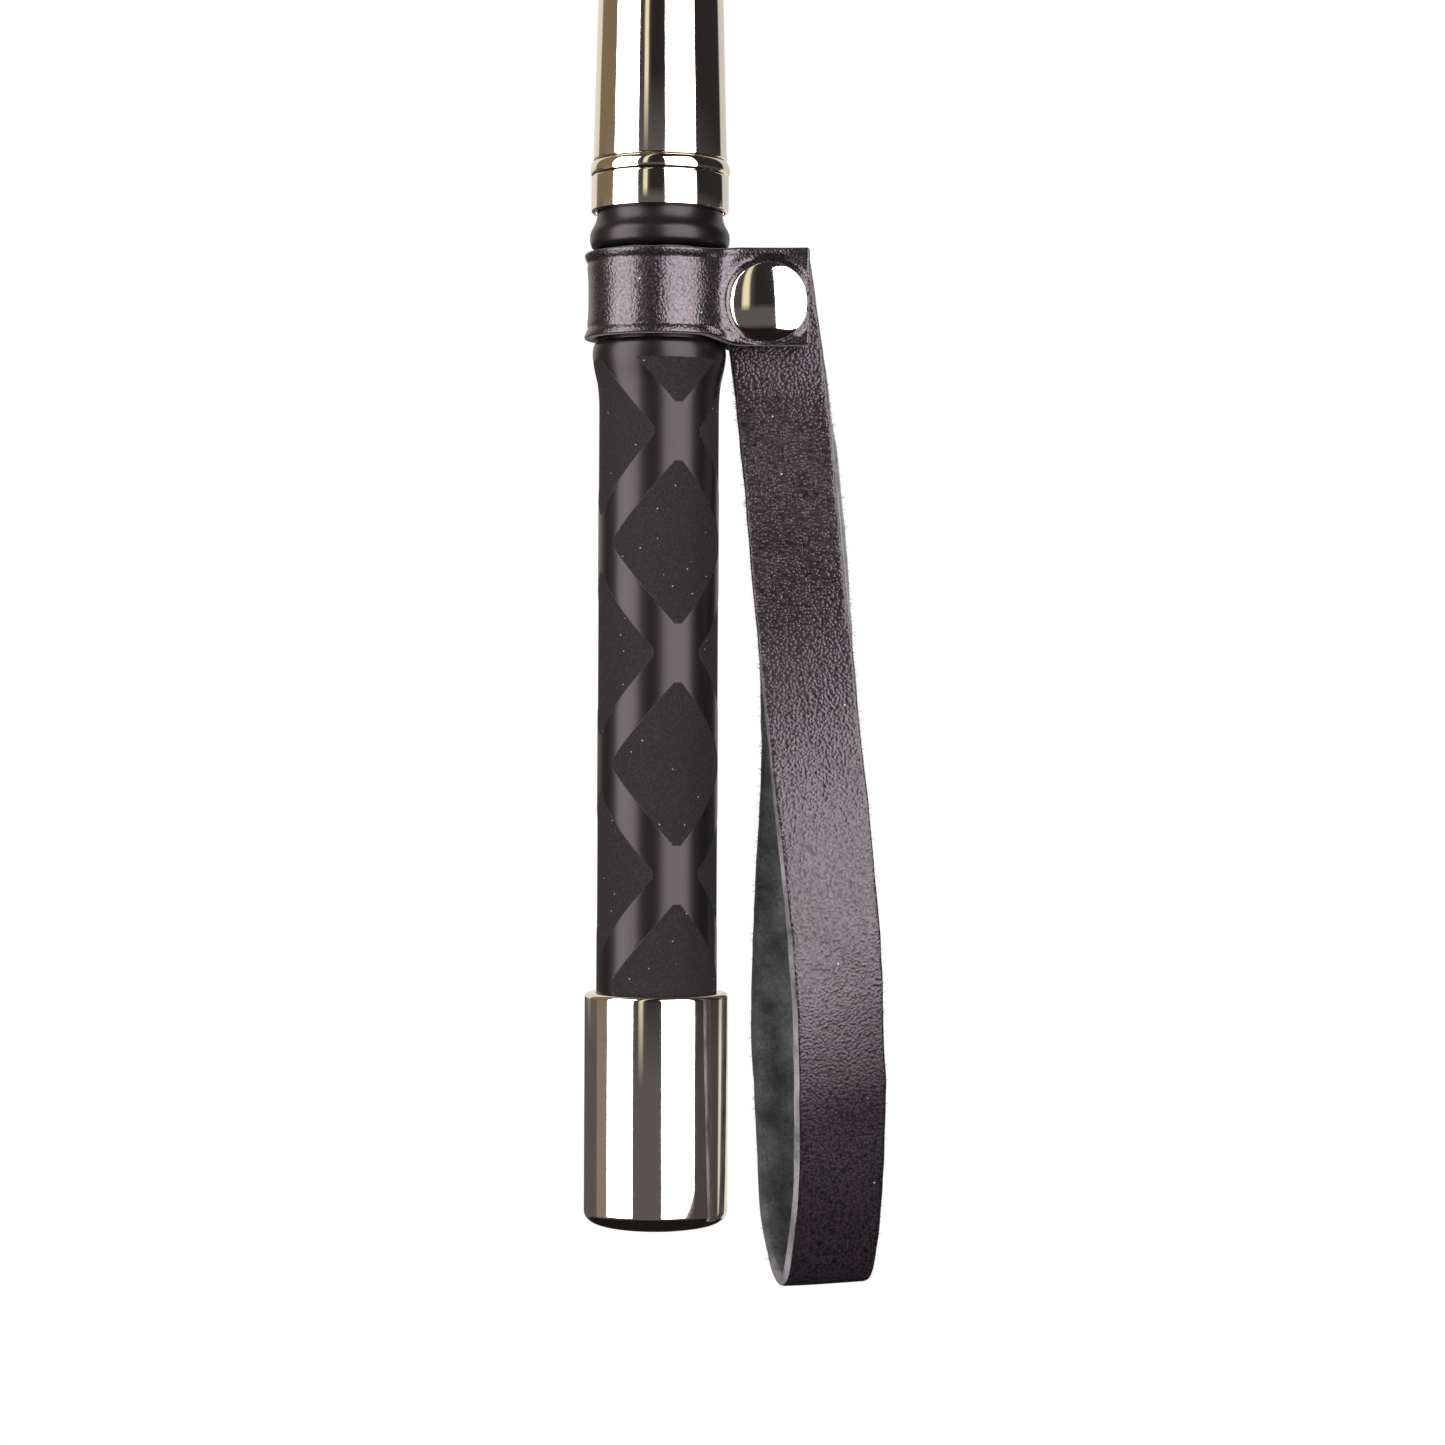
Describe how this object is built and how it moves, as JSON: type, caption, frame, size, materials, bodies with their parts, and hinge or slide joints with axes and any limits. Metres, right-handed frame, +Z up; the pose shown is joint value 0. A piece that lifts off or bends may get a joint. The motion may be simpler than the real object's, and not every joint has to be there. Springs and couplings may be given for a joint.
{
  "type": "riding crop",
  "caption": "Straight riding crop: metal pommel and tapered ferrule, rubber grip, leather wrist strap on a swivelling neck band, braided shaft, leather keeper.",
  "frame": {"origin": "on the shaft's axis, in the middle of the hand's hold on the grip, 100 mm above the pommel's end face", "axes": "+Z up the shaft towards the keeper; +X towards the wrist strap's press stud; the stud's cap faces -Y"},
  "size_m": [0.057, 0.0293, 0.6612],
  "materials": {
    "polished_nickel": "mirror polished",
    "nickelled_brass": "nickel plated, satin",
    "grip_rubber": "smooth rubber with matte grained diamonds",
    "strap_leather": "pebble grain, aniline black",
    "turned_wood": "turned, unfinished",
    "moulded_core": "moulded",
    "glass_fibre": "pultruded, bare",
    "braided_thread": "braided waxed thread"
  },
  "bodies": {
    "handle": {"pommel_cap": "polished_nickel", "pommel_plug": "turned_wood", "handle_tube": "moulded_core", "grip_rubber": "grip_rubber", "ferrule_collar": "polished_nickel", "ferrule_sleeve": "polished_nickel", "ferrule_plug": "turned_wood", "nose_bush": "moulded_core", "shaft_core": "glass_fibre", "shaft_braid": "braided_thread", "keeper_root": "strap_leather", "keeper_binding": "braided_thread"},
    "band": {"neck_band": "strap_leather", "snap_post": "nickelled_brass", "snap_stud": "nickelled_brass"},
    "flap": {"band_flap": "strap_leather", "snap_cap": "polished_nickel", "snap_socket": "nickelled_brass"},
    "strap": {"wrist_strap": "strap_leather"},
    "keeper": {"keeper_tongue": "strap_leather"}
  },
  "joints": [
    {"name": "band_swivel", "type": "hinge", "parent": "handle", "child": "band", "pos_m": [0, 0, 0.0742], "axis": [0, 0, 1], "continuous": true},
    {"name": "flap_open", "type": "hinge", "parent": "band", "child": "flap", "pos_m": [0.00853, -0.01097, 0.073], "axis": [0, 0, -1], "range_deg": [0, 65]},
    {"name": "strap_swing", "type": "hinge", "parent": "band", "child": "strap", "pos_m": [0.0204, 0.001, 0.0728], "axis": [0, -1, 0], "range_deg": [-1.5, 60]},
    {"name": "keeper_flex", "type": "hinge", "parent": "handle", "child": "keeper", "pos_m": [0, 0, 0.4865], "axis": [1, 0, 0], "range_deg": [-60, 60], "stiffness_Nm_per_rad": 0.06}
  ]
}
